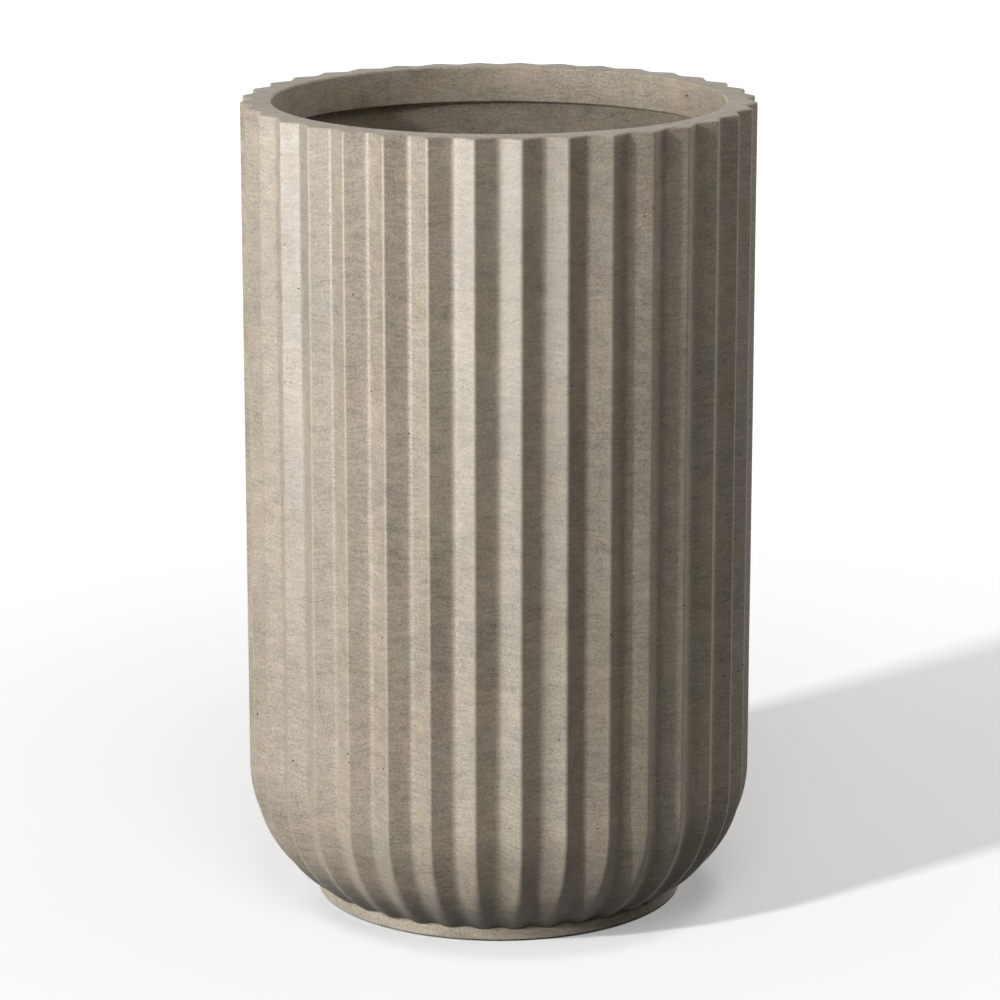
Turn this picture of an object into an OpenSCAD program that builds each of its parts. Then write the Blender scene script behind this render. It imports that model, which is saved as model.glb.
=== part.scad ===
// Fluted column planter in cast concrete, standing on a low round foot.
// Millimetres. The origin is on the floor under the planter's axis and +Z points up.
// A groove between two ridges faces the front, which is -Y.

/* [Body] */
// Diameter over the ridges of the straight wall
ridge_d = 400; // [320:5:520]
// Height from the floor to the rim
overall_h = 636; // [420:1:900]
// Thickness of the wall behind the bottom of a groove
wall = 10; // [8:0.5:16]
// Thickness of the bowl's floor above the foot
floor_t = 24.5; // [20:0.5:40]
// Rounding of the edges around the rim
rim_round = 1.6; // [0.4:0.2:4]

/* [Flutes] */
// Number of ridges around the body
flute_count = 36; // [24:2:48]
// Depth of a groove below the ridges
flute_depth = 8; // [4:0.5:11]
// Radius on the tip of a ridge
ridge_round = 3.2; // [1:0.2:5]
// Radius in the bottom of a groove
groove_round = 6.5; // [2:0.5:9]

/* [Lip] */
// Height of the thick band inside the mouth
lip_h = 28.5; // [10:0.5:80]
// How far the band stands in from the inner wall
lip_step = 6.5; // [2:0.5:16]

/* [Bowl] */
// Height of the curved lower part
bowl_h = 95.5; // [80:0.5:180]
// How far the ridges draw in from the wall to the foot
bowl_draw = 53; // [24:1:70]

/* [Foot] */
// Height of the foot's edge that shows
foot_edge_h = 8.5; // [6:0.5:20]
// How far the foot's edge lies inside the ends of the ridges
foot_inset = 1; // [0:0.5:12]
// Rounding of the foot's edges
foot_round = 1; // [0.4:0.2:2]
// Height of the spigot that locates the foot in the bowl
spigot_h = 9; // [4:0.5:12]
// Width of the foot's flat shoulder around the spigot
shoulder_w = 26; // [18:1:34]
// Bedding gap around and above the spigot
bed_gap = 0.5; // [0.2:0.1:1]

/* [Pads] */
// Number of pads under the foot
pad_count = 4; // [3:1:8]
// Diameter of a pad
pad_d = 30; // [16:1:40]
// Thickness of a pad
pad_t = 3; // [2:0.5:5]
// How far a pad stands out of its pocket
pad_proud = 1; // [0.5:0.1:1.5]
// Distance from the foot's edge to the middle of a pad
pad_in = 30; // [24:1:44]
// Side clearance of a pad in its pocket
pad_gap = 0.3; // [0.1:0.1:1]

/* [Drain] */
// Bore of the drain sleeve
drain_d = 28; // [18:1:36]
// Wall of the drain sleeve
sleeve_t = 3; // [2:0.5:5]
// Width of the sleeve's flange beyond its tube
flange_w = 9; // [5:0.5:14]
// Thickness of the sleeve's flange
flange_t = 2.5; // [1.5:0.5:5]
// How far the sleeve's end stays above the foot's underside
sleeve_short = 1; // [0.5:0.5:4]
// Clearance between the sleeve and the concrete around it
sleeve_gap = 0.2; // [0.1:0.1:0.6]

/* [Plug] */
// Length of the plug below its head
plug_len = 24; // [14:1:28]
// Width of the plug's head beyond the drain's bore
plug_rim = 5; // [3:0.5:8]
// Thickness of the plug's head
plug_head_t = 4; // [2.5:0.5:6]
// Radial clearance of the plug's sealing ribs in the sleeve
plug_gap = 0.05; // [0.02:0.01:0.1]
// How far the sealing ribs stand out from the stem
rib_out = 0.8; // [0.4:0.1:1.5]
// Height of one sealing rib
rib_h = 2.4; // [1.5:0.1:4]
// Number of sealing ribs
rib_count = 3; // [2:1:4]
// Width of the tab that lifts the plug
tab_w = 18; // [12:1:24]
// Height of the tab above the head
tab_h = 15; // [12:1:24]
// Thickness of the tab
tab_t = 5; // [3:0.5:8]
// Diameter of the hole through the tab
tab_hole_d = 8; // [4:0.5:9]

/* [Hidden] */

ridge_r = ridge_d / 2;
groove_r = ridge_r - flute_depth;
inner_r = groove_r - wall;
mouth_r = inner_r - lip_step;

// Corners of the outline before rounding, placed so that the rounded ones meet the named sizes
flute_half = 180 / flute_count;
ridge_slope = atan((ridge_r - groove_r * cos(flute_half)) / (groove_r * sin(flute_half)));
groove_slope = ridge_slope - flute_half;
ridge_corner_r = ridge_r + ridge_round * (1 / cos(ridge_slope) - 1);
groove_corner_r = groove_r - groove_round * (1 / cos(groove_slope) - 1);

foot_z = pad_proud;
bowl_z = foot_z + foot_edge_h;
wall_z = bowl_z + bowl_h;
floor_z = bowl_z + floor_t;

// One arc, tangent to the straight wall, runs from wall_z down to the foot
bowl_arc_r = (bowl_draw * bowl_draw + bowl_h * bowl_h) / (2 * bowl_draw);
bowl_arc_x = ridge_r - bowl_arc_r;
bowl_arc_a = asin(bowl_h / bowl_arc_r);
inner_arc_r = inner_r - bowl_arc_x;
inner_arc_a = asin((wall_z - floor_z) / inner_arc_r);

foot_r = ridge_r - bowl_draw - foot_inset;
spigot_r = foot_r - shoulder_w;
spigot_z = bowl_z + spigot_h;
pad_r = foot_r - pad_in;
pocket_z = foot_z + pad_t - pad_proud;

drain_r = drain_d / 2;
sleeve_r = drain_r + sleeve_t;
flange_r = sleeve_r + flange_w;
stem_r = drain_r - plug_gap - rib_out;
head_r = drain_r + plug_rim;
plug_tip = 2;

bowl_steps = 10;
inner_steps = 16;
corner_steps = 2;
round_steps = 3;
cut = 1;
round_fn = 96;

// Points of an arc of radius r that rounds corner b of the path a, b, c
function corner_arc(a, b, c, r, steps) =
    let (u = (a - b) / norm(a - b), v = (c - b) / norm(c - b),
         half = acos(u * v) / 2,
         mid = (u + v) / norm(u + v),
         centre = b + mid * r / sin(half),
         start = b + u * r / tan(half) - centre,
         turn = 180 - 2 * half,
         way = cross(u, v) > 0 ? -1 : 1)
    [for (i = [0:steps])
        let (t = way * turn * i / steps)
        centre + [start.x * cos(t) - start.y * sin(t), start.x * sin(t) + start.y * cos(t)]];

// Ridges and grooves in turn around the straight wall, with a groove at the front
function corner(i) =
    let (a = -90 + i * flute_half, r = i % 2 == 0 ? groove_corner_r : ridge_corner_r)
    [r * cos(a), r * sin(a)];

fluted_outline = [for (i = [0:2 * flute_count - 1])
    each corner_arc(corner(i - 1 + 2 * flute_count), corner(i), corner(i + 1),
                    i % 2 == 0 ? groove_round : ridge_round, corner_steps)];

// Heights of the rings and how much each is drawn in, from the foot up to the rim.
// The first and the last ring close the ends, and lie inside the foot's seat and the mouth.
seat_r = spigot_r + bed_gap;
seat_ring = [bowl_z, (seat_r - cut) / ridge_r];
mouth_ring = [overall_h, (mouth_r - cut) / ridge_r];
bowl_rings = [for (i = [0:bowl_steps])
    let (a = bowl_arc_a * (1 - i / bowl_steps))
    [wall_z - bowl_arc_r * sin(a), (bowl_arc_x + bowl_arc_r * cos(a)) / ridge_r]];
rim_rings = [for (i = [0:round_steps])
    let (a = 90 * i / round_steps)
    [overall_h - rim_round * (1 - sin(a)), 1 - rim_round * (1 - cos(a)) / ridge_r]];

// Solid through a stack of rings, each one a scaled copy of the outline
module ringed_solid(outline, rings) {
    n = len(outline);
    last = len(rings) - 1;
    points = [for (ring = rings) for (p = outline) [p.x * ring[1], p.y * ring[1], ring[0]]];
    sides = [for (k = [0:last - 1]) for (j = [0:n - 1])
        let (a = k * n + j, b = k * n + (j + 1) % n)
        each [[a, b + n, b], [a, a + n, b + n]]];
    bottom = [for (j = [0:n - 1]) j];
    top = [for (j = [0:n - 1]) last * n + n - 1 - j];
    polyhedron(points = points, faces = concat(sides, [bottom, top]));
}

// Hollow of the pot, with the step under the lip and the rounded edge of the mouth
module pot_hollow() {
    arc = [for (i = [0:inner_steps])
        let (a = inner_arc_a * (1 - i / inner_steps))
        [bowl_arc_x + inner_arc_r * cos(a), wall_z - inner_arc_r * sin(a)]];
    edge = [for (i = [0:round_steps])
        let (a = 90 * i / round_steps)
        [mouth_r + rim_round * (1 - cos(a)), overall_h - rim_round * (1 - sin(a))]];
    rotate_extrude($fn = round_fn)
        polygon(concat([[0, floor_z]], arc,
                       [[inner_r, overall_h - lip_h], [mouth_r, overall_h - lip_h]],
                       edge,
                       [[mouth_r + rim_round, overall_h + cut], [0, overall_h + cut]]));
}

module planter_shell() {
    color([0.60, 0.56, 0.49])
    difference() {
        ringed_solid(fluted_outline, concat([seat_ring], bowl_rings, rim_rings, [mouth_ring]));
        pot_hollow();
        // Seat for the foot's spigot
        translate([0, 0, bowl_z - cut])
            cylinder(h = spigot_h + bed_gap + cut, r = seat_r, $fn = round_fn);
        // Hole for the drain sleeve and seat for its flange
        translate([0, 0, bowl_z])
            cylinder(h = floor_t + cut, r = sleeve_r + sleeve_gap, $fn = round_fn);
        translate([0, 0, floor_z - flange_t])
            cylinder(h = flange_t + cut, r = flange_r + sleeve_gap, $fn = round_fn);
    }
}

module foot_disc() {
    e = foot_round;
    color([0.68, 0.63, 0.54])
    difference() {
        rotate_extrude($fn = round_fn)
            polygon([[0, foot_z], [foot_r - e, foot_z], [foot_r, foot_z + e],
                     [foot_r, bowl_z], [spigot_r, bowl_z], [spigot_r, spigot_z - e],
                     [spigot_r - e, spigot_z], [0, spigot_z]]);
        translate([0, 0, foot_z - cut])
            cylinder(h = spigot_z - foot_z + 2 * cut, r = sleeve_r + sleeve_gap, $fn = round_fn);
        pad_places()
            translate([0, 0, foot_z - cut])
                cylinder(h = pocket_z - foot_z + cut, r = pad_d / 2 + pad_gap, $fn = round_fn);
    }
}

module pad_places() {
    for (i = [0:pad_count - 1])
        rotate(180 / pad_count + i * 360 / pad_count)
            translate([pad_r, 0, 0])
                children();
}

module foot_pads() {
    e = pad_t / 6;
    color([0.13, 0.13, 0.13])
    pad_places()
        rotate_extrude($fn = round_fn)
            polygon([[0, 0], [pad_d / 2 - e, 0], [pad_d / 2, e], [pad_d / 2, pad_t], [0, pad_t]]);
}

module drain_sleeve() {
    end_z = foot_z + sleeve_short;
    color([0.30, 0.30, 0.29])
    rotate_extrude($fn = round_fn)
        polygon([[drain_r, end_z], [sleeve_r, end_z], [sleeve_r, floor_z - flange_t],
                 [flange_r, floor_z - flange_t], [flange_r, floor_z], [drain_r, floor_z]]);
}

module drain_plug() {
    rib_r = drain_r - plug_gap;
    rib_step = (plug_len - plug_tip) / rib_count;
    ribs = [for (i = [0:rib_count - 1])
        let (z = floor_z - plug_len + plug_tip + (i + 0.5) * rib_step)
        each [[stem_r, z - rib_h / 2], [rib_r, z - rib_h / 4],
              [rib_r, z + rib_h / 4], [stem_r, z + rib_h / 2]]];
    head_z = floor_z + plug_head_t;
    head_round = plug_head_t / 3;
    color([0.10, 0.10, 0.10])
    union() {
        rotate_extrude($fn = round_fn)
            polygon(concat([[0, floor_z - plug_len], [stem_r - plug_tip, floor_z - plug_len],
                            [stem_r, floor_z - plug_len + plug_tip]],
                           ribs,
                           [[stem_r, floor_z], [head_r, floor_z], [head_r, head_z - head_round],
                            [head_r - head_round, head_z], [0, head_z]]));
        plug_tab(head_z);
    }
}

// Upright tab with a round top and a hole for a finger nail or a cord
module plug_tab(z) {
    eye_z = tab_h - tab_w / 2;
    sink = plug_head_t / 2;
    translate([0, tab_t / 2, z])
        rotate([90, 0, 0])
            linear_extrude(height = tab_t)
                difference() {
                    union() {
                        translate([-tab_w / 2, -sink])
                            square([tab_w, eye_z + sink]);
                        translate([0, eye_z])
                            circle(d = tab_w, $fn = round_fn);
                    }
                    translate([0, eye_z])
                        circle(d = tab_hole_d, $fn = round_fn);
                }
}

planter_shell();
foot_disc();
drain_sleeve();
drain_plug();
foot_pads();
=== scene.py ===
"""A fluted column planter in cast concrete, with its foot, drain sleeve, plug and pads.

The packed frame holds every piece at its real size. This file builds the finished surfaces
around it: one operator for each piece, and one for the floor, the lights and the camera.
"""

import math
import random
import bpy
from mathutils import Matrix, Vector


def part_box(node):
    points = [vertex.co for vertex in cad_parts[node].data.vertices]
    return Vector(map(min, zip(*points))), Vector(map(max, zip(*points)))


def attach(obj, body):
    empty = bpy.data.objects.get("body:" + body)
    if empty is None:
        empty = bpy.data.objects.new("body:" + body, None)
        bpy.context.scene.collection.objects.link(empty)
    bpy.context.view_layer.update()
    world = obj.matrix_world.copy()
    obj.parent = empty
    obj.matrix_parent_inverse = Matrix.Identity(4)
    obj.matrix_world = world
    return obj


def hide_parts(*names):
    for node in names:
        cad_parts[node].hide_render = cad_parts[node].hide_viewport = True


bl_info = {
    "name": "Fluted Concrete Planter",
    "version": (1, 0, 0),
    "blender": (4, 5, 0),
    "location": "3D View > Sidebar > Planter",
    "description": "Builds a fluted column planter in cast concrete, with its foot and drain",
    "category": "Add Mesh",
}

import bmesh
import bpy
from bpy.props import FloatProperty, FloatVectorProperty, IntProperty, PointerProperty
from bpy.types import Operator, Panel, PropertyGroup
from mathutils import Matrix, Vector, noise

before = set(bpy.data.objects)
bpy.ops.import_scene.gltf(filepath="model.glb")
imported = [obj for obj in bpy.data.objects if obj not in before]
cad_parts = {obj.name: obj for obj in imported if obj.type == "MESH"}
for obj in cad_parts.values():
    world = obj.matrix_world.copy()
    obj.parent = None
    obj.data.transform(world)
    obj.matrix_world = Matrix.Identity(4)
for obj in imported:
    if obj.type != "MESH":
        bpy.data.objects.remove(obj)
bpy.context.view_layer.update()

MM = 0.001
TAU = 2 * math.pi
HOLE_SEED = 7

# Radius of the pin hole that the pads and the plug keep on their axis
PIN_R = 0.4 * MM


def length(name, description, default):
    """A property that holds a length in metres."""
    return FloatProperty(name=name, description=description, default=default,
                         min=0.0, precision=5, unit="LENGTH", subtype="DISTANCE")


def colour(name, description, default):
    """A property that holds a linear colour."""
    return FloatVectorProperty(name=name, description=description, default=default,
                               size=3, min=0.0, max=1.0, subtype="COLOR")


def turn(name, description, degrees):
    """A property that holds an angle, given here in degrees."""
    return FloatProperty(name=name, description=description, default=math.radians(degrees),
                         unit="ROTATION", subtype="ANGLE")


def fraction(name, description, default):
    """A property that holds a fraction from 0 to 1."""
    return FloatProperty(name=name, description=description, default=default,
                         min=0.0, max=1.0, subtype="FACTOR")


def power(name, description, watts):
    """A property that holds the power of a lamp."""
    return FloatProperty(name=name, description=description, default=watts,
                         min=0.0, unit="POWER")


class ShellSettings(PropertyGroup):
    """Sizes and colours of the fluted shell."""

    flute_count: IntProperty(name="Flutes", description="Number of ridges around the body",
                             default=36, min=12, max=72)
    flute_depth: length("Flute depth", "Depth of a groove below the ridges", 8 * MM)
    ridge_round: length("Ridge radius", "Radius on the tip of a ridge", 3.2 * MM)
    groove_round: length("Groove radius", "Radius in the bottom of a groove", 6.5 * MM)
    ridge_low: length("Low ridge radius", "Radius on the tip of a ridge, at the foot", 11 * MM)
    groove_low: length("Low groove radius", "Radius in a groove, at the foot", 14 * MM)
    soft_share: fraction("Softened share", "Part of the bowl's height where flutes soften", 0.75)
    wall: length("Wall", "Thickness of the wall behind a groove", 10 * MM)
    rim_round: length("Rim rounding", "Rounding of the rim's edges", 1.6 * MM)
    inner_round: length("Inner rounding", "Rounding of the edges inside the pot", 1.0 * MM)
    lip_height: length("Lip height", "Height of the thick band inside the mouth", 28.5 * MM)
    lip_step: length("Lip step", "How far the band stands in from the wall", 6.5 * MM)
    bowl_height: length("Bowl height", "Height of the curved lower part", 95.5 * MM)
    bowl_draw: length("Bowl draw", "How far the ridges draw in down to the foot", 53 * MM)
    floor_thickness: length("Floor", "Thickness of the bowl's floor", 24.5 * MM)
    waviness: length("Waviness", "Depth of the slow waves that the mould left", 0.35 * MM)
    hole_count: IntProperty(name="Air holes", description="Number of open air bubbles",
                            default=460, min=0, max=900)
    hole_groups: IntProperty(name="Air hole groups", description="Number of close groups",
                             default=60, min=1, max=200)
    hole_size: length("Air hole size", "Diameter of a common air bubble", 1.5 * MM)
    hole_spacing: length("Air hole spacing", "Least distance between two bubbles", 2.0 * MM)
    concrete: colour("Concrete", "Main colour of the cast concrete", (0.448, 0.385, 0.300))
    worn: colour("Worn edges", "Colour of the rubbed ridges", (0.53, 0.46, 0.37))
    # Near-black painted shade in the pinholes' bottoms, darker still in the cut air bubbles
    pinhole_painted_shade: colour("Pinhole painted shade", "Colour in the bottom of a pinhole", (0.10, 0.085, 0.065))
    air_hole_painted_shade: fraction("Air hole shade", "How pale an air bubble is against a pinhole", 0.6)
    # Painted shade low on the outside of the bowl, darkest near the foot
    painted_shade_low: length("Painted shade bottom", "Height up to which the stain is darkest", 14 * MM)
    painted_shade_top: length("Painted shade top", "Height at which the dark stain ends", 60 * MM)
    painted_shade_darkest: fraction("Painted shade darkest", "How pale the stain is at its darkest", 0.22)
    # Painted shade on the inside of the pot below the lip
    inside_painted_shade: fraction("Inside shade", "How pale the inside wall is", 0.78)


class FootSettings(PropertyGroup):
    """Sizes and colours of the round foot and its pads."""

    edge_round: length("Edge rounding", "Rounding of the foot's lower edge", 1.0 * MM)
    spigot_step: length("Shoulder", "Width of the shoulder that carries the bowl", 26 * MM)
    mortar: length("Mortar gap", "Gap around and above the spigot", 0.5 * MM)
    bead: length("Mortar bead", "Rise of the bead that shows in each groove above the foot", 1.5 * MM)
    pad_size: length("Pad", "Diameter of a pad", 30 * MM)
    pad_round: length("Pad rounding", "Rounding of a pad's edges", 0.7 * MM)
    pad_pocket: length("Pocket gap", "Side clearance of a pad in its pocket", 0.3 * MM)
    pocket_depth: length("Pocket depth", "Depth of a pad's pocket", 2 * MM)
    concrete: colour("Foot concrete", "Colour of the foot", (0.53, 0.457, 0.355))
    rubber: colour("Pad rubber", "Colour of the pads", (0.035, 0.035, 0.036))


class DrainSettings(PropertyGroup):
    """Sizes and colours of the drain sleeve and its plug."""

    bore: length("Bore", "Diameter of the sleeve's bore", 28 * MM)
    sleeve_wall: length("Sleeve wall", "Thickness of the sleeve's tube", 3 * MM)
    flange: length("Flange", "Thickness of the sleeve's flange", 2.5 * MM)
    flange_width: length("Flange width", "How far the flange stands out from the tube", 9 * MM)
    sleeve_round: length("Sleeve rounding", "Rounding of the sleeve's edges", 0.5 * MM)
    fit_gap: length("Sleeve gap", "Clearance between the sleeve and the concrete", 0.2 * MM)
    rib_gap: length("Rib gap", "Clearance of the sealing ribs in the bore", 0.05 * MM)
    rib_out: length("Rib height", "How far the sealing ribs stand out", 0.8 * MM)
    rib_count: IntProperty(name="Ribs", description="Number of sealing ribs",
                           default=3, min=1, max=5)
    stem_taper: length("Stem taper", "Bevel at the lower end of the plug's stem", 2 * MM)
    head: length("Plug head", "Thickness of the plug's head", 4 * MM)
    plug_round: length("Plug rounding", "Rounding of the plug's edges", 0.9 * MM)
    tab_width: length("Tab width", "Width of the lifting tab", 18 * MM)
    tab_thickness: length("Tab thickness", "Thickness of the lifting tab", 5 * MM)
    tab_round: length("Tab rounding", "Rounding of the tab's edges", 0.8 * MM)
    tab_hole: length("Tab hole", "Diameter of the hole in the tab", 8 * MM)
    sleeve: colour("Sleeve plastic", "Colour of the sleeve", (0.045, 0.045, 0.042))
    rubber: colour("Plug rubber", "Colour of the plug", (0.022, 0.022, 0.022))


class StageSettings(PropertyGroup):
    """The camera, the lights and the floor."""

    camera_back: length("Camera distance", "How far the camera stands in front", 3.0773)
    camera_side: length("Camera side", "How far the camera stands to the right", 0.0035)
    camera_height: length("Camera height", "Height of the camera", 1.0930)
    camera_tilt: turn("Camera tilt", "How far the camera looks down", 14.167)
    camera_pan: turn("Camera pan", "How far the camera looks to the right", -0.0467)
    lens: FloatProperty(name="Lens", description="Focal length on a 36 mm sensor, in mm",
                        default=144.38, min=10.0, unit="CAMERA")
    key_power: power("Key", "Power of the far lamp at the left", 277.0)
    floor_power: power("Floor key", "Power of the far lamp that only the floor takes", 339.0)
    side_power: power("Side", "Power of the panel at the far left", 40.5)
    front_power: power("Front", "Power of the panel at the front left", 12.0)
    back_power: power("Back", "Power of the lamp behind the right side", 24.5)
    high_power: power("High", "Power of the raised wide lamp", 19.4)
    top_power: power("Top", "Power of the wide lamp overhead", 5.0)
    sheen_power: power("Left sheen", "Power of the left panel that shows as gloss", 175.0)
    sheen_share: fraction("Front sheen", "Power of the front gloss panel, as a share of the left", 0.45)
    floor: colour("Floor", "Colour of the floor as the object is lit by it", (0.05, 0.05, 0.05))
    room: fraction("Room light", "Strength of the even light all round", 0.018)


def mesh_object(name, points, faces, body, nodes):
    """A new object from points and faces, riding on a body and standing for CAD nodes."""
    mesh = bpy.data.meshes.new(name)
    mesh.from_pydata([tuple(p) for p in points], [], faces)
    mesh.validate()
    piece = bpy.data.objects.new(name, mesh)
    bpy.context.scene.collection.objects.link(piece)
    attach(piece, body)
    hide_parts(*nodes)
    return piece


def loose_object(name, bm):
    """A plain object from a bmesh, such as one that a boolean uses up."""
    mesh = bpy.data.meshes.new(name)
    bm.to_mesh(mesh)
    bm.free()
    made = bpy.data.objects.new(name, mesh)
    bpy.context.scene.collection.objects.link(made)
    return made


def dress(piece, material, angle=40, keep_flats=True):
    """Gives a piece its material and smooth shading, with edges sharp from the angle up.

    With keep_flats the large faces set the shading, so that roundings blend into flat facets.
    """
    piece.data.shade_smooth()
    piece.data.set_sharp_from_angle(angle=math.radians(angle))
    if keep_flats:
        weighted = piece.modifiers.new("Flat facets", "WEIGHTED_NORMAL")
        weighted.mode = "FACE_AREA"
        weighted.keep_sharp = True
        weighted.weight = 100
    piece.data.materials.clear()
    piece.data.materials.append(material)


def boolean(piece, other, operation):
    """Cuts or joins another closed object, and leaves the result in the piece's mesh."""
    modifier = piece.modifiers.new("Boolean", "BOOLEAN")
    modifier.operation = operation
    modifier.solver = "MANIFOLD"
    modifier.object = other
    bpy.context.view_layer.update()
    shape = piece.evaluated_get(bpy.context.evaluated_depsgraph_get())
    made = bpy.data.meshes.new_from_object(shape)
    if not made.polygons:
        raise RuntimeError(f"the {operation} left nothing of {piece.name}")
    piece.modifiers.remove(modifier)
    piece.data = made
    bpy.data.objects.remove(other)


def add_cylinder(bm, radius, depth, matrix, segments):
    """Adds a closed cylinder to a bmesh, centred where the matrix puts it."""
    bmesh.ops.create_cone(bm, cap_ends=True, segments=segments, radius1=radius,
                          radius2=radius, depth=depth, matrix=matrix)


def ring_faces(rings, count):
    """Quads between rings of points, from each ring to the next and from the last to the first."""
    faces = []
    for k in range(rings):
        a = k * count
        b = (k + 1) % rings * count
        for j in range(count):
            i = (j + 1) % count
            faces.append((a + j, a + i, b + i, b + j))
    return faces


def arc(centre_r, centre_z, radius, start, end, steps):
    """Points (r, z) along an arc, with angles in degrees from the outward direction."""
    angles = [math.radians(start + (end - start) * i / steps) for i in range(steps + 1)]
    return [(centre_r + radius * math.cos(a), centre_z + radius * math.sin(a)) for a in angles]


def span(start, end, steps):
    """Values from just after start up to end."""
    return [start + (end - start) * (i + 1) / steps for i in range(steps)]


def lathe(profile, count):
    """Points and faces of a closed profile (r, z) turned around the Z axis."""
    points = [(r * math.cos(TAU * j / count), r * math.sin(TAU * j / count), z)
              for r, z in profile for j in range(count)]
    return points, ring_faces(len(profile), count)


def rounded(profile, radius, steps=3):
    """A closed profile (r, z) with each corner rounded by a curve of about the radius.

    Where a side is short, the curves at its two ends share it.
    """
    side_share = 1 / 2.2
    out = []
    for i, corner in enumerate(profile):
        corner = Vector(corner)
        to_last = Vector(profile[i - 1]) - corner
        to_next = Vector(profile[(i + 1) % len(profile)]) - corner
        reach = min(radius, to_last.length * side_share, to_next.length * side_share)
        first, last = corner + to_last.normalized() * reach, corner + to_next.normalized() * reach
        for k in range(steps + 1):
            t = k / steps
            out.append(tuple(first * (1 - t) ** 2 + corner * 2 * t * (1 - t) + last * t * t))
    return out


def rgba(values, factor=1.0):
    """A colour, made darker or paler by a factor, as the four numbers that a socket takes."""
    return (*(min(value * factor, 1.0) for value in values), 1.0)


class Nodes:
    """Builds the nodes of a material or a world, with short names for the common ones."""

    def __init__(self, owner):
        owner.use_nodes = True
        self.tree = owner.node_tree
        self.tree.nodes.clear()

    def node(self, kind, inputs=(), **settings):
        """A new node with its settings, and its inputs by name or number."""
        made = self.tree.nodes.new(kind)
        for key, value in settings.items():
            setattr(made, key, value)
        for key, value in dict(inputs).items():
            if isinstance(value, bpy.types.NodeSocket):
                self.tree.links.new(value, made.inputs[key])
            else:
                made.inputs[key].default_value = value
        return made

    def math(self, operation, a, b):
        """One sum, product or other step of arithmetic."""
        return self.node("ShaderNodeMath", {0: a, 1: b}, operation=operation).outputs[0]

    def total(self, parts, start=0.0):
        """A start value plus each part's value times its weight."""
        for value, weight in parts:
            start = self.node("ShaderNodeMath", {0: value, 1: weight, 2: start},
                              operation="MULTIPLY_ADD").outputs[0]
        return start

    def spread(self, value, low, high, out_low=0.0, out_high=1.0, curve="SMOOTHSTEP"):
        """A value between two limits, carried over to two others and held there past them."""
        return self.node("ShaderNodeMapRange", {"Value": value, "From Min": low,
                                                "From Max": high, "To Min": out_low,
                                                "To Max": out_high},
                         interpolation_type=curve).outputs["Result"]

    def seen_directly(self):
        """A socket that is 1 for rays from the camera, and for mirrored and refracted ones."""
        rays = self.node("ShaderNodeLightPath").outputs
        mirrored = self.math("MAXIMUM", rays["Is Camera Ray"], rays["Is Glossy Ray"])
        return self.math("MAXIMUM", mirrored, rays["Is Transmission Ray"])


class Surface(Nodes):
    """Builds the nodes of one material, with short names for noises, tones and the surface."""

    def __init__(self, name):
        self.material = bpy.data.materials.new(name)
        super().__init__(self.material)
        self.coordinates = self.node("ShaderNodeTexCoord").outputs["Object"]

    def stretched(self, scale, warp=0.0):
        """Object coordinates times a scale on each axis, bent by slow noise if warp is set.

        The scale is the number of features in a metre, and the warp is in metres.
        """
        source = self.coordinates
        if warp:
            bend = self.node("ShaderNodeTexNoise", {"Vector": source, "Scale": 22.0, "Detail": 1.0})
            centred = self.node("ShaderNodeVectorMath", {0: bend.outputs["Color"],
                                                         1: (0.5, 0.5, 0.5)},
                                operation="SUBTRACT")
            moved = self.node("ShaderNodeVectorMath", {0: centred.outputs[0], "Scale": warp},
                              operation="SCALE")
            source = self.node("ShaderNodeVectorMath", {0: source, 1: moved.outputs[0]},
                               operation="ADD").outputs[0]
        return self.node("ShaderNodeMapping", {"Vector": source, "Scale": scale}).outputs[0]

    def noise(self, vector, detail=3.0, roughness=0.5, output="Fac"):
        """Noise from 0 to 1, as one value or as the three channels of a colour."""
        return self.node("ShaderNodeTexNoise", {"Vector": vector, "Scale": 1.0,
                                                "Detail": detail,
                                                "Roughness": roughness}).outputs[output]

    def attribute(self, name):
        """A value that the mesh holds."""
        return self.node("ShaderNodeAttribute", attribute_name=name).outputs["Fac"]

    def blend(self, *parts):
        """One tone around one half, from noises of mean one half with their weights."""
        return self.total(parts, 0.5 - sum(weight for _, weight in parts) / 2)

    def mix(self, share, a, b, blend="MIX"):
        """Two colours mixed by a share."""
        return self.node("ShaderNodeMix", {0: share, 6: a, 7: b}, data_type="RGBA",
                         blend_type=blend, clamp_factor=True).outputs[2]

    def finish(self, base, roughness, relief, specular=0.5):
        """The surface shader, with a bump whose relief is in metres."""
        bump = self.node("ShaderNodeBump", {"Height": relief, "Distance": 1.0, "Strength": 1.0})
        surface = self.node("ShaderNodeBsdfPrincipled", {"Base Color": base,
                                                         "Roughness": roughness,
                                                         "Specular IOR Level": specular,
                                                         "Normal": bump.outputs[0]})
        self.node("ShaderNodeOutputMaterial", {"Surface": surface.outputs[0]})
        return self.material


def rubbed_with_painted_shade(s, base, mottle, shell):
    """The concrete's colour with paler rubbed ridges, painted shade low on the bowl and painted shade
    inside.
    """
    rubbed = s.math("MULTIPLY", s.attribute("ridge"), s.spread(mottle, 0.35, 0.6, 0.2, 0.7))
    base = s.mix(rubbed, base, rgba(shell.worn))
    # Painted shade low on the bowl: the colour darkens towards the foot, with an uneven top edge, and
    # not inside
    height = s.node("ShaderNodeSeparateXYZ", {0: s.coordinates}).outputs["Z"]
    uneven = s.math("ADD", height, s.math("MULTIPLY", mottle, 8 * MM))
    low_painted_shade = s.spread(uneven, shell.painted_shade_low, shell.painted_shade_top, shell.painted_shade_darkest, 1.0)
    inside = s.attribute("inside")
    low_shade_off_inside = s.math("MAXIMUM", low_painted_shade, inside)
    # The colour is scaled by both painted shades: low on the bowl, and on the inside below the lip
    shade = s.math("MULTIPLY", low_shade_off_inside,
                   s.spread(inside, 0.0, 1.0, 1.0, shell.inside_painted_shade))
    return s.node("ShaderNodeVectorMath", {0: base, "Scale": shade}, operation="SCALE").outputs[0]


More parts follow.
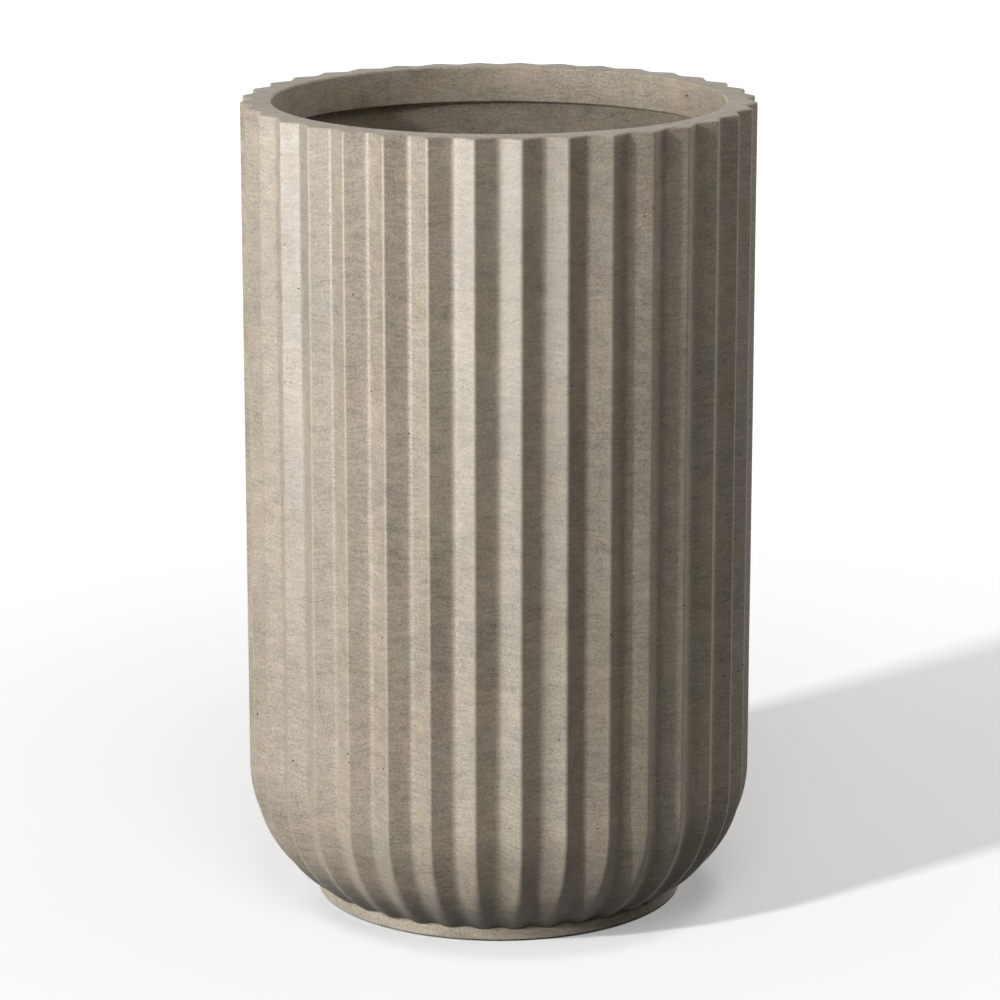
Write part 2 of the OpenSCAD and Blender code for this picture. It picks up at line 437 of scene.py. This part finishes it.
def concrete_material(name, main, shell, wear):
    """Fine cast concrete: clouds, mottle, trowel strokes, hairlines, sand grain and pinholes whose
    bottoms are painted near-black as painted shade.

    With wear it also has the shell's rubbed ridges, painted shade low on the bowl and inside, and
    near-black painted shade in the air bubbles.
    """
    s = Surface(name)
    clouds = s.noise(s.stretched((11, 11, 9)), detail=3.0, roughness=0.6)
    mottle = s.noise(s.stretched((60, 60, 75), warp=0.01), detail=4.0, roughness=0.65)
    strokes = s.noise(s.stretched((48, 48, 400), warp=0.018), detail=2.0, roughness=0.6)
    hairs = s.noise(s.stretched((90, 90, 900), warp=0.025), detail=1.0)
    grain = s.noise(s.stretched((640, 640, 640)), detail=1.0, roughness=0.6)
    tint = s.noise(s.stretched((22, 22, 17)), detail=4.0, roughness=0.6, output="Color")

    tone = s.blend((clouds, 0.46), (mottle, 0.54), (strokes, 0.40), (hairs, 0.40), (grain, 0.80))
    base = s.mix(tone, rgba(main, 0.4), rgba(main, 1.6))
    tint_depth = (0.19, 0.10, 0.27)
    tint_start = tuple(1 - depth / 2 for depth in tint_depth)
    tinted = s.node("ShaderNodeVectorMath", {0: tint, 1: tint_depth, 2: tint_start},
                    operation="MULTIPLY_ADD")
    base = s.mix(1.0, base, tinted.outputs[0], "MULTIPLY")
    if wear:
        base = rubbed_with_painted_shade(s, base, mottle, shell)

    # Pinholes: pits in the bump, with their bottoms painted near-black as painted shade
    cells = s.node("ShaderNodeTexVoronoi", {"Vector": s.stretched((150, 150, 150)),
                                            "Scale": 1.0}, feature="F1").outputs["Distance"]
    pin_reach = s.spread(s.noise(s.stretched((17, 17, 17)), detail=2.0), 0.47, 0.66, 0.01, 0.10)
    pin = s.spread(s.math("DIVIDE", cells, pin_reach), 0.6, 1.2, 1.0, 0.0)
    pin_shade_strength = s.spread(strokes, 0.3, 0.6, 0.2, 0.8)
    base = s.mix(s.math("MULTIPLY", pin, pin_shade_strength), base, rgba(shell.pinhole_painted_shade))
    # The cut air bubbles' faces are painted near-black as painted shade
    if wear:
        base = s.mix(s.attribute("hole"), base, rgba(shell.pinhole_painted_shade, shell.air_hole_painted_shade))

    relief = s.total([(mottle, 0.2 * MM), (strokes, 0.04 * MM), (hairs, 0.012 * MM),
                      (grain, 0.016 * MM), (pin, -0.25 * MM)])
    roughness = s.spread(mottle, 0.3, 0.7, 0.38, 0.48)
    return s.finish(base, roughness, relief, specular=0.2)


def moulded_material(name, main, mean_roughness, grain_height):
    """Moulded rubber or plastic: fine matt grain, faint flow marks and dust."""
    s = Surface(name)
    flow = s.noise(s.stretched((60, 60, 90), warp=0.01), detail=3.0)
    grain = s.noise(s.stretched((2200, 2200, 2200)), detail=2.0)
    dust = s.noise(s.stretched((35, 35, 35)), detail=5.0, roughness=0.7)
    dust_colour = (0.30, 0.28, 0.24)
    base = s.mix(s.spread(flow, 0.3, 0.7), rgba(main, 0.85), rgba(main, 1.2))
    base = s.mix(s.spread(dust, 0.52, 0.75, 0.0, 0.16), base, rgba(dust_colour))
    relief = s.total([(grain, grain_height), (flow, 0.08 * MM)])
    roughness = s.spread(dust, 0.3, 0.7, mean_roughness - 0.06, mean_roughness + 0.1)
    return s.finish(base, roughness, relief)


class ShellSizes:
    """Heights and radii of the shell that follow from the frame and the settings."""

    def __init__(self, shell):
        low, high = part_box("planter_shell")
        self.bottom, self.top = low.z, high.z
        self.wall_z = self.bottom + shell.bowl_height
        self.lip_z = self.top - shell.lip_height
        self.half_flute = math.pi / shell.flute_count
        self.ridge_r = high.x / math.cos(self.half_flute)
        self.groove_r = self.ridge_r - shell.flute_depth
        self.inner_r = self.groove_r - shell.wall
        self.bowl_arc = (shell.bowl_draw ** 2 + shell.bowl_height ** 2) / (2 * shell.bowl_draw)
        self.bowl_centre = self.ridge_r - self.bowl_arc


def corner_arc(before, corner, after, radius, steps):
    """Points that round one corner of an outline with an arc."""
    u, v = (before - corner).normalized(), (after - corner).normalized()
    half = u.angle(v) / 2
    centre = corner + (u + v).normalized() * radius / math.sin(half)
    start = corner + u * radius / math.tan(half) - centre
    way = -1 if u.x * v.y - u.y * v.x > 0 else 1
    swing = math.pi - 2 * half
    points = []
    for i in range(steps + 1):
        a = way * swing * i / steps
        points.append(centre + Vector((start.x * math.cos(a) - start.y * math.sin(a),
                                       start.x * math.sin(a) + start.y * math.cos(a))))
    return points


def fluted_outline(shell, sizes, ridge_round, groove_round, arc_steps=4, facet_steps=3):
    """Points around the wall, each with how much it belongs to a ridge.

    The facets lie where the sharp flutes have them, and only the roundings are the given ones.
    """
    half = sizes.half_flute
    slope = math.atan((sizes.ridge_r - sizes.groove_r * math.cos(half))
                      / (sizes.groove_r * math.sin(half)))
    ridge_corner = sizes.ridge_r + shell.ridge_round * (1 / math.cos(slope) - 1)
    groove_corner = sizes.groove_r - shell.groove_round * (1 / math.cos(slope - half) - 1)
    corners = []
    for i in range(2 * shell.flute_count):
        a = i * half - math.pi / 2
        r = ridge_corner if i % 2 else groove_corner
        corners.append(Vector((r * math.cos(a), r * math.sin(a))))
    arcs = []
    for i, corner in enumerate(corners):
        radius = ridge_round if i % 2 else groove_round
        arcs.append(corner_arc(corners[i - 1], corner, corners[(i + 1) % len(corners)],
                               radius, arc_steps))
    outline = []
    for i, points in enumerate(arcs):
        for k, point in enumerate(points):
            middle = 1 - abs(2 * k / arc_steps - 1)
            outline.append((point, middle if i % 2 else 0.0))
        after = arcs[(i + 1) % len(arcs)][0]
        for k in range(1, facet_steps):
            outline.append((points[-1].lerp(after, k / facet_steps), 0.0))
    return outline


def outer_rings(shell, sizes):
    """Height and scale of each ring up the outside, from the foot's shoulder to the rim."""
    rim_z = sizes.top - shell.rim_round
    low = -math.degrees(math.asin(shell.bowl_height / sizes.bowl_arc))
    bowl = arc(sizes.bowl_centre, sizes.wall_z, sizes.bowl_arc, low, 0.0, 24)
    wall = [(sizes.ridge_r, z) for z in span(sizes.wall_z, rim_z, 58)]
    rim = arc(sizes.ridge_r - shell.rim_round, rim_z, shell.rim_round, 15, 90, 5)
    return [(z, r / sizes.ridge_r) for r, z in bowl + wall + rim]


def sleeve_hole(drain):
    """Radius of the hole in the concrete that takes the sleeve's tube."""
    return drain.bore / 2 + drain.sleeve_wall + drain.fit_gap


def inner_profile(shell, drain, foot, sizes):
    """Profile (r, z) from the mouth's edge down the inside, through the drain to the seat."""
    inner_r, lip_z = sizes.inner_r, sizes.lip_z
    mouth_r, rim_z = inner_r - shell.lip_step, sizes.top - shell.rim_round
    edge = shell.inner_round
    floor_z = sizes.bottom + shell.floor_thickness
    inner_arc = inner_r - sizes.bowl_centre
    low = -math.degrees(math.asin((sizes.wall_z - floor_z) / inner_arc))
    hole_r = sleeve_hole(drain)
    seat_r = hole_r + drain.flange_width
    foot_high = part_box("foot_disc")[1]
    spigot_r, spigot_z = foot_high.x - foot.spigot_step + foot.mortar, foot_high.z + foot.mortar
    profile = arc(mouth_r + shell.rim_round, rim_z, shell.rim_round, 90, 180, 4)
    profile += [(mouth_r, z) for z in span(rim_z, lip_z + 0.6 * edge, 4)]
    profile += [(mouth_r + 0.2 * edge, lip_z + 0.2 * edge), (mouth_r + 0.8 * edge, lip_z)]
    profile += [(inner_r - edge, lip_z), (inner_r, lip_z - edge)]
    profile += [(inner_r, z) for z in span(lip_z - edge, sizes.wall_z, 22)]
    profile += arc(sizes.bowl_centre, sizes.wall_z, inner_arc, 0.0, low, 14)[1:]
    profile += [(r, floor_z) for r in span(profile[-1][0], seat_r + edge, 5)]
    profile += [(seat_r + 0.2 * edge, floor_z - 0.2 * edge), (seat_r, floor_z - edge)]
    profile += [(seat_r, floor_z - drain.flange), (hole_r, floor_z - drain.flange)]
    profile += [(hole_r, spigot_z), (spigot_r, spigot_z), (spigot_r, sizes.bottom)]
    return profile


def weathered(point, depth):
    """A point of the outside, drawn in by the slow waves that a mould leaves.

    The number of waves in a metre is given for a slow and a quicker kind.
    """
    slow_waves, quick_waves, apart = 13.0, 55.0, Vector((3.0, 7.0, 1.0))
    slow = noise.noise(point * slow_waves) * 0.5 + 0.5
    quick = noise.noise(point * quick_waves + apart) * 0.5 + 0.5
    inward = depth * (0.75 * slow + 0.25 * quick)
    scale = 1 - inward / math.hypot(point.x, point.y)
    return Vector((point.x * scale, point.y * scale, point.z))


def shell_rings(shell, sizes, profile):
    """The shell's rings of points: up the outside, over the rim and down the inner profile.

    Returns the points, how much each belongs to a ridge, how much each is on the inside wall,
    and the number of points in a ring.
    """
    outline = fluted_outline(shell, sizes, shell.ridge_round, shell.groove_round)
    softened = fluted_outline(shell, sizes, shell.ridge_low, shell.groove_low)
    points, ridge = [], []
    for z, scale in outer_rings(shell, sizes):
        low_share = max(0.0, 1 - (z - sizes.bottom) / (shell.soft_share * shell.bowl_height))
        soft = low_share ** 2 * (3 - 2 * low_share)
        for (sharp, share), (blunt, _) in zip(outline, softened):
            p = sharp.lerp(blunt, soft) * scale
            points.append(weathered(Vector((p.x, p.y, z)), shell.waviness))
            ridge.append(share * (1 - soft))
    rim_scale = 1 - shell.rim_round / sizes.ridge_r
    for share in (0.35, 0.7):
        for p, _ in outline:
            flat = (p * rim_scale).lerp(p.normalized() * profile[0][0], share)
            points.append(Vector((flat.x, flat.y, sizes.top)))
    # Points below the lip are marked inside, where the concrete's colour takes painted shade
    inside = [0.0] * len(points)
    for r, z in profile:
        for p, _ in outline:
            d = p.normalized()
            points.append(Vector((d.x * r, d.y * r, z)))
            inside.append(1.0 if z < sizes.lip_z else 0.0)
    ridge += [0.0] * (len(points) - len(ridge))
    return points, ridge, inside, len(outline)


def air_hole_place(draw, groups, shell, sizes):
    """A random place where an air bubble breaks the surface, or None where none may be."""
    grouped_share, group_turn, group_rise = 0.55, 0.02, 0.008
    inside_reach, inside_share, lip_clear = 140 * MM, 0.4, 3 * MM
    low, high = sizes.bottom + shell.bowl_height * 0.9, sizes.top - 6 * MM
    if draw.random() < grouped_share:
        group = draw.choice(groups)
        a, rise = draw.gauss(group[0], group_turn), draw.gauss(group[1], group_rise)
    else:
        a, rise = draw.uniform(0, TAU), draw.uniform(0, 1)
    z = low + rise * (sizes.top - sizes.wall_z)
    if not low < z < high:
        return None
    phase = abs((a / sizes.half_flute) % 2 - 1)
    surface = sizes.groove_r + shell.flute_depth * (1 - phase)
    if z > sizes.top - inside_reach and draw.random() < inside_share:
        if abs(z - sizes.lip_z) < lip_clear:
            return None
        surface = sizes.inner_r - shell.lip_step if z > sizes.lip_z else sizes.inner_r
    return Vector((surface * math.cos(a), surface * math.sin(a), z))


def air_holes(shell, sizes):
    """Small closed bubbles that break the outside, the lip and the inner wall, to cut away."""
    draw = random.Random(HOLE_SEED)
    bm = bmesh.new()
    centres = []
    groups = [(draw.uniform(0, TAU), draw.uniform(0.05, 0.95)) for _ in range(shell.hole_groups)]
    while len(centres) < shell.hole_count:
        centre = air_hole_place(draw, groups, shell, sizes)
        if centre is None:
            continue
        size = shell.hole_size * draw.choice((0.45, 0.55, 0.7, 0.9, 1.2)) / 2
        if any((centre - other).length < shell.hole_spacing for other in centres):
            continue
        centres.append(centre)
        shape = Matrix.Diagonal((size, size * draw.uniform(0.8, 1.5), size * 1.1, 1.0))
        spin = Matrix.Rotation(draw.uniform(0, TAU), 4, "Z")
        bmesh.ops.create_icosphere(bm, subdivisions=1, radius=1.0,
                                   matrix=Matrix.Translation(centre) @ spin @ shape)
    holes = loose_object("air_holes", bm)
    # Marks the bubbles' faces, which the concrete's colour fills with near-black painted shade
    marks = holes.data.attributes.new("hole", "FLOAT", "FACE")
    marks.data.foreach_set("value", [1.0] * len(holes.data.polygons))
    return holes


class PLANTER_OT_shell(Operator):
    """Build the fluted shell with its lip, bowl and drain hole"""

    bl_idname = "planter.make_shell"
    bl_label = "Shell"

    def execute(self, context):
        shell = context.scene.planter_shell
        sizes = ShellSizes(shell)
        profile = inner_profile(shell, context.scene.planter_drain, context.scene.planter_foot,
                                sizes)
        points, ridge, inside, count = shell_rings(shell, sizes, profile)
        piece = mesh_object("cast_shell", points, ring_faces(len(points) // count, count),
                            "pot", ["planter_shell"])
        piece.data.attributes.new("ridge", "FLOAT", "POINT").data.foreach_set("value", ridge)
        piece.data.attributes.new("inside", "FLOAT", "POINT").data.foreach_set("value", inside)
        piece.data.attributes.new("hole", "FLOAT", "FACE")
        boolean(piece, air_holes(shell, sizes), "DIFFERENCE")
        dress(piece, concrete_material("Cast concrete", shell.concrete, shell, wear=True))
        return {"FINISHED"}


def foot_profile(foot, drain):
    """Profile (r, z) of the foot: the underside, the edge, the mortar bead and the spigot."""
    low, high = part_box("foot_disc")
    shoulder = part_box("planter_shell")[0].z
    hole_r, outer, spigot_r = sleeve_hole(drain), high.x, high.x - foot.spigot_step
    edge, top_edge = foot.edge_round, 0.4 * MM
    bead_inward = (top_edge, 1.6 * MM, 3.4 * MM, 6.5 * MM, 6.8 * MM)
    bead_upward = (0.1 * MM, foot.bead / 2, foot.bead, foot.bead, 0.0)
    profile = [(hole_r, low.z)]
    profile += [(r, low.z) for r in span(hole_r, outer - edge, 8)]
    profile += arc(outer - edge, low.z + edge, edge, -90, 0, 4)[1:]
    profile += [(outer, z) for z in span(low.z + edge, shoulder - top_edge, 3)]
    profile += [(outer - x, shoulder + z) for x, z in zip(bead_inward, bead_upward)]
    profile += [(spigot_r, shoulder), (spigot_r, high.z - edge)]
    profile += [(spigot_r - edge, high.z), (hole_r, high.z)]
    return profile


def pad_places(foot):
    """Centre (x, y) of each pad, from the corners of the pads' box."""
    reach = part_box("foot_pads")[1].x - foot.pad_size / 2
    return [(x * reach, y * reach) for x in (-1, 1) for y in (-1, 1)]


class PLANTER_OT_foot(Operator):
    """Build the round foot with its spigot, drain hole and pad pockets"""

    bl_idname = "planter.make_foot"
    bl_label = "Foot"

    def execute(self, context):
        foot, shell = context.scene.planter_foot, context.scene.planter_shell
        points, faces = lathe(foot_profile(foot, context.scene.planter_drain), count=288)
        piece = mesh_object("cast_foot", points, faces, "pot", ["foot_disc"])
        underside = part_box("foot_disc")[0].z
        pockets = bmesh.new()
        for x, y in pad_places(foot):
            add_cylinder(pockets, foot.pad_size / 2 + foot.pad_pocket, 2 * foot.pocket_depth,
                         Matrix.Translation((x, y, underside)), segments=96)
        boolean(piece, loose_object("pockets", pockets), "DIFFERENCE")
        dress(piece, concrete_material("Foot concrete", foot.concrete, shell, wear=False),
              angle=35)
        return {"FINISHED"}


class PLANTER_OT_pads(Operator):
    """Build the rubber pads under the foot"""

    bl_idname = "planter.make_pads"
    bl_label = "Pads"

    def execute(self, context):
        foot = context.scene.planter_foot
        low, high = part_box("foot_pads")
        radius = foot.pad_size / 2
        profile = rounded([(PIN_R, low.z), (radius, low.z), (radius, high.z), (PIN_R, high.z)],
                          foot.pad_round)
        points, faces = lathe(profile, count=96)
        material = moulded_material("Pad rubber", foot.rubber, 0.7, 0.04 * MM)
        for i, (x, y) in enumerate(pad_places(foot)):
            moved = [(px + x, py + y, pz) for px, py, pz in points]
            piece = mesh_object(f"rubber_pad_{i + 1}", moved, faces, "pot",
                                ["foot_pads"])
            dress(piece, material, keep_flats=False)
        return {"FINISHED"}


class PLANTER_OT_sleeve(Operator):
    """Build the drain sleeve with its flange"""

    bl_idname = "planter.make_sleeve"
    bl_label = "Drain sleeve"

    def execute(self, context):
        drain = context.scene.planter_drain
        low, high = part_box("drain_sleeve")
        bore, tube = drain.bore / 2, drain.bore / 2 + drain.sleeve_wall
        seat = high.z - drain.flange
        profile = rounded([(bore, low.z), (tube, low.z), (tube, seat), (high.x, seat),
                           (high.x, high.z), (bore, high.z)], drain.sleeve_round)
        points, faces = lathe(profile, count=128)
        piece = mesh_object("moulded_sleeve", points, faces, "pot",
                            ["drain_sleeve"])
        dress(piece, moulded_material("Sleeve plastic", drain.sleeve, 0.45, 0.02 * MM))
        return {"FINISHED"}


def plug_profile(drain, low, high, seat):
    """Profile (r, z) of the plug's stem with its sealing ribs, and of its round head."""
    rib_r = drain.bore / 2 - drain.rib_gap
    stem_r = rib_r - drain.rib_out
    taper, head_z = drain.stem_taper, seat + drain.head
    rib_root, rib_tip = 1.4 * MM, 0.4 * MM
    profile = [(PIN_R, low.z), (stem_r - taper, low.z), (stem_r, low.z + taper)]
    step = (seat - low.z - taper) / drain.rib_count
    for i in range(drain.rib_count):
        z = low.z + taper + (i + 0.5) * step
        profile += [(stem_r, z - rib_root), (rib_r, z - rib_tip), (rib_r, z + rib_tip),
                    (stem_r, z + rib_root)]
    profile += [(stem_r, seat), (high.x, seat), (high.x, head_z), (PIN_R, head_z)]
    return rounded(profile, drain.plug_round, steps=4)


def plug_tab(drain, foot_z, eye):
    """The lifting tab: a plate with a round top about the eye, standing across the head."""
    bm = bmesh.new()
    half, thick = drain.tab_width / 2, drain.tab_thickness / 2
    edge = drain.tab_round
    outline = [(-half, foot_z), (half, foot_z)]
    outline += [(half * math.cos(a), eye + half * math.sin(a))
                for a in (math.pi * k / 24 for k in range(25))]
    bevel = 0.3 * edge
    levels = [(-thick, edge), (-thick + bevel, bevel), (-thick + edge, 0), (thick - edge, 0),
              (thick - bevel, bevel), (thick, edge)]
    centre = Vector((0, (foot_z + eye) / 2))
    rings = []
    for y, inset in levels:
        ring = []
        for x, z in outline:
            away = Vector((x, z)) - centre
            scale = 1 - inset / away.length
            ring.append(bm.verts.new((centre.x + away.x * scale, y, centre.y + away.y * scale)))
        rings.append(ring)
    for a, b in zip(rings, rings[1:]):
        for j in range(len(outline)):
            i = (j + 1) % len(outline)
            bm.faces.new((a[j], a[i], b[i], b[j]))
    bm.faces.new(list(reversed(rings[0])))
    bm.faces.new(rings[-1])
    bmesh.ops.recalc_face_normals(bm, faces=bm.faces)
    return loose_object("tab", bm)


class PLANTER_OT_plug(Operator):
    """Build the rubber plug with its sealing ribs and lifting tab"""

    bl_idname = "planter.make_plug"
    bl_label = "Drain plug"

    def execute(self, context):
        drain = context.scene.planter_drain
        low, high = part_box("drain_plug")
        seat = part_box("drain_sleeve")[1].z
        points, faces = lathe(plug_profile(drain, low, high, seat), count=128)
        piece = mesh_object("rubber_plug", points, faces, "plug", ["drain_plug"])
        eye = high.z - drain.tab_width / 2
        boolean(piece, plug_tab(drain, seat + drain.head / 2, eye), "UNION")
        hole = bmesh.new()
        across = Matrix.Translation((0, 0, eye)) @ Matrix.Rotation(math.pi / 2, 4, "X")
        add_cylinder(hole, drain.tab_hole / 2, 3 * drain.tab_thickness, across, segments=48)
        boolean(piece, loose_object("tab_hole", hole), "DIFFERENCE")
        dress(piece, moulded_material("Plug rubber", drain.rubber, 0.6, 0.03 * MM))
        return {"FINISHED"}


def floor_material(stage):
    """A pale floor: the camera sees it near white, with the object's shadow kept on it.

    The shown part leans towards the key lamp, so that the key's shadow counts for more. Its
    glow is weaker near the foot, weakest just in front of it where a painted contact shadow
    dims it, and there is none beneath it.
    """
    foot_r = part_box("foot_disc")[1].x
    contact_centre, contact_width, contact_shade = (0.012, -0.024, 0.0), 0.03, 0.70
    glow_from, glow_to = 0.2, 2.9
    glow_low, glow_high = 0.44, 0.98
    lean = (-0.56, -0.52, 0.64)

    s = Surface("Pale floor")
    reach = s.node("ShaderNodeVectorMath", {0: s.coordinates}, operation="LENGTH").outputs["Value"]
    shifted = s.node("ShaderNodeVectorMath", {0: s.coordinates, 1: contact_centre},
                     operation="DISTANCE").outputs["Value"]
    glow = s.spread(reach, glow_from, glow_to, glow_low, glow_high, curve="LINEAR")
    # Painted contact shadow: the glow is dimmed just in front of the foot
    contact = s.spread(shifted, foot_r, foot_r + contact_width, contact_shade, 1.0)
    dimmed = s.math("MULTIPLY", glow, contact)
    strength = s.spread(reach, foot_r - 1 * MM, foot_r, 0.0, dimmed, curve="LINEAR")

    leaning = s.node("ShaderNodeCombineXYZ", dict(enumerate(lean)))
    lit = s.node("ShaderNodeBsdfDiffuse", {"Color": rgba((0.98, 0.98, 0.98)),
                                           "Normal": leaning.outputs[0]})
    white = s.node("ShaderNodeEmission", {"Strength": strength})
    shown = s.node("ShaderNodeAddShader", {0: lit.outputs[0], 1: white.outputs[0]})
    bounce = s.node("ShaderNodeBsdfDiffuse", {"Color": rgba(stage.floor)})
    either = s.node("ShaderNodeMixShader", {0: s.seen_directly(), 1: bounce.outputs[0],
                                            2: shown.outputs[0]})
    s.node("ShaderNodeOutputMaterial", {"Surface": either.outputs[0]})
    return s.material


def room_light(stage):
    """Even light from all round, which the camera, gloss and glass see as white."""
    world = bpy.data.worlds.new("Room")
    bpy.context.scene.world = world
    s = Nodes(world)
    strength = s.spread(s.seen_directly(), 0.0, 1.0, stage.room, 1.0, curve="LINEAR")
    sky = s.node("ShaderNodeBackground", {"Color": rgba((1.0, 1.0, 1.0)), "Strength": strength})
    s.node("ShaderNodeOutputWorld", {"Surface": sky.outputs[0]})


def add_lamp(name, azimuth, distance, height, size, watts, aim=0.32, shows="all"):
    """A rectangular lamp beside the planter, turned to a height on its axis.

    Azimuth 0 is the front and positive azimuths are to the right of it. The aim is at half the
    planter's height where none is given. A lamp that shows as "gloss" is mirrored by surfaces
    and doesn't light them.
    """
    lamp = bpy.data.lights.new(name, "AREA")
    lamp.shape = "RECTANGLE"
    lamp.size, lamp.size_y = size
    lamp.energy = watts
    holder = bpy.data.objects.new(name, lamp)
    bpy.context.scene.collection.objects.link(holder)
    a = math.radians(azimuth)
    holder.location = (distance * math.sin(a), -distance * math.cos(a), height)
    away = holder.location - Vector((0, 0, aim))
    holder.rotation_mode = "QUATERNION"
    holder.rotation_quaternion = away.to_track_quat("Z", "Y")
    holder.visible_diffuse = shows == "all"
    return holder


def lit_by(name, floor, state, lamps):
    """Lets lamps light the floor alone, or all but the floor where the state is EXCLUDE."""
    receivers = bpy.data.collections.new(name)
    receivers.objects.link(floor)
    receivers.collection_objects[0].light_linking.link_state = state
    for lamp in lamps:
        lamp.light_linking.receiver_collection = receivers


def add_lamps(stage, floor):
    """Adds the lamps, each with its azimuth, distance, height, size and power."""
    key = add_lamp("Key", -45, 8.4, 3.55, (0.6, 0.6), stage.key_power)
    floor_key = add_lamp("Floor key", -50, 8.4, 5.2, (0.6, 0.6), stage.floor_power)
    side = add_lamp("Side", -68, 3.0, 0.85, (0.8, 0.5), stage.side_power, aim=0.85)
    front = add_lamp("Front", -31, 3.0, 1.05, (0.8, 0.6), stage.front_power, aim=0.9)
    back = add_lamp("Back", 120, 2.97, 1.52, (1.3, 1.3), stage.back_power)
    add_lamp("High", 10, 1.84, 2.94, (1.5, 1.5), stage.high_power)
    add_lamp("Top", 0, 0.06, 3.52, (2.0, 2.0), stage.top_power)
    add_lamp("Left sheen", -56, 3.0, 0.22, (0.6, 0.4), stage.sheen_power, aim=0.22,
             shows="gloss")
    add_lamp("Front sheen", -26, 3.0, 0.32, (0.6, 0.6), stage.sheen_share * stage.sheen_power,
             shows="gloss")
    lit_by("All but the floor", floor, "EXCLUDE", (key, side, front, back))
    lit_by("The floor alone", floor, "INCLUDE", (floor_key,))


class PLANTER_OT_stage(Operator):
    """Build the floor, the lights and the camera"""

    bl_idname = "planter.make_stage"
    bl_label = "Stage"

    def execute(self, context):
        stage = context.scene.planter_stage
        context.scene.view_settings.view_transform = "Standard"
        bm = bmesh.new()
        bmesh.ops.create_circle(bm, cap_ends=True, segments=96, radius=14.0)
        floor = loose_object("floor", bm)
        floor.data.materials.append(floor_material(stage))
        room_light(stage)
        add_lamps(stage, floor)

        data = bpy.data.cameras.new("Camera")
        data.lens, data.sensor_width = stage.lens, 36.0
        camera = bpy.data.objects.new("Camera", data)
        camera.location = (stage.camera_side, -stage.camera_back, stage.camera_height)
        camera.rotation_euler = (math.pi / 2 - stage.camera_tilt, 0, -stage.camera_pan)
        context.scene.collection.objects.link(camera)
        context.scene.camera = camera
        return {"FINISHED"}


class PLANTER_PT_panel(Panel):
    """Lists the planter's sizes and its operators in the sidebar"""

    bl_idname = "PLANTER_PT_panel"
    bl_label = "Planter"
    bl_space_type = "VIEW_3D"
    bl_region_type = "UI"
    bl_category = "Planter"

    def draw(self, context):
        for name, group in SETTINGS.items():
            box = self.layout.box()
            box.label(text=group.__doc__)
            for key in group.__annotations__:
                box.prop(getattr(context.scene, name), key)
        for operator in OPERATORS:
            self.layout.operator(operator.bl_idname)


SETTINGS = {
    "planter_shell": ShellSettings,
    "planter_foot": FootSettings,
    "planter_drain": DrainSettings,
    "planter_stage": StageSettings,
}
OPERATORS = (PLANTER_OT_shell, PLANTER_OT_foot, PLANTER_OT_pads, PLANTER_OT_sleeve,
             PLANTER_OT_plug, PLANTER_OT_stage)


def register():
    for name, group in SETTINGS.items():
        bpy.utils.register_class(group)
        setattr(bpy.types.Scene, name, PointerProperty(type=group))
    for cls in (*OPERATORS, PLANTER_PT_panel):
        bpy.utils.register_class(cls)


def unregister():
    for cls in (PLANTER_PT_panel, *reversed(OPERATORS)):
        bpy.utils.unregister_class(cls)
    for name, group in reversed(SETTINGS.items()):
        delattr(bpy.types.Scene, name)
        bpy.utils.unregister_class(group)


def main():
    """Builds every piece and the stage."""
    register()
    bpy.ops.planter.make_shell()
    bpy.ops.planter.make_foot()
    bpy.ops.planter.make_pads()
    bpy.ops.planter.make_sleeve()
    bpy.ops.planter.make_plug()
    bpy.ops.planter.make_stage()
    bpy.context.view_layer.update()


if __name__ == "__main__":
    main()
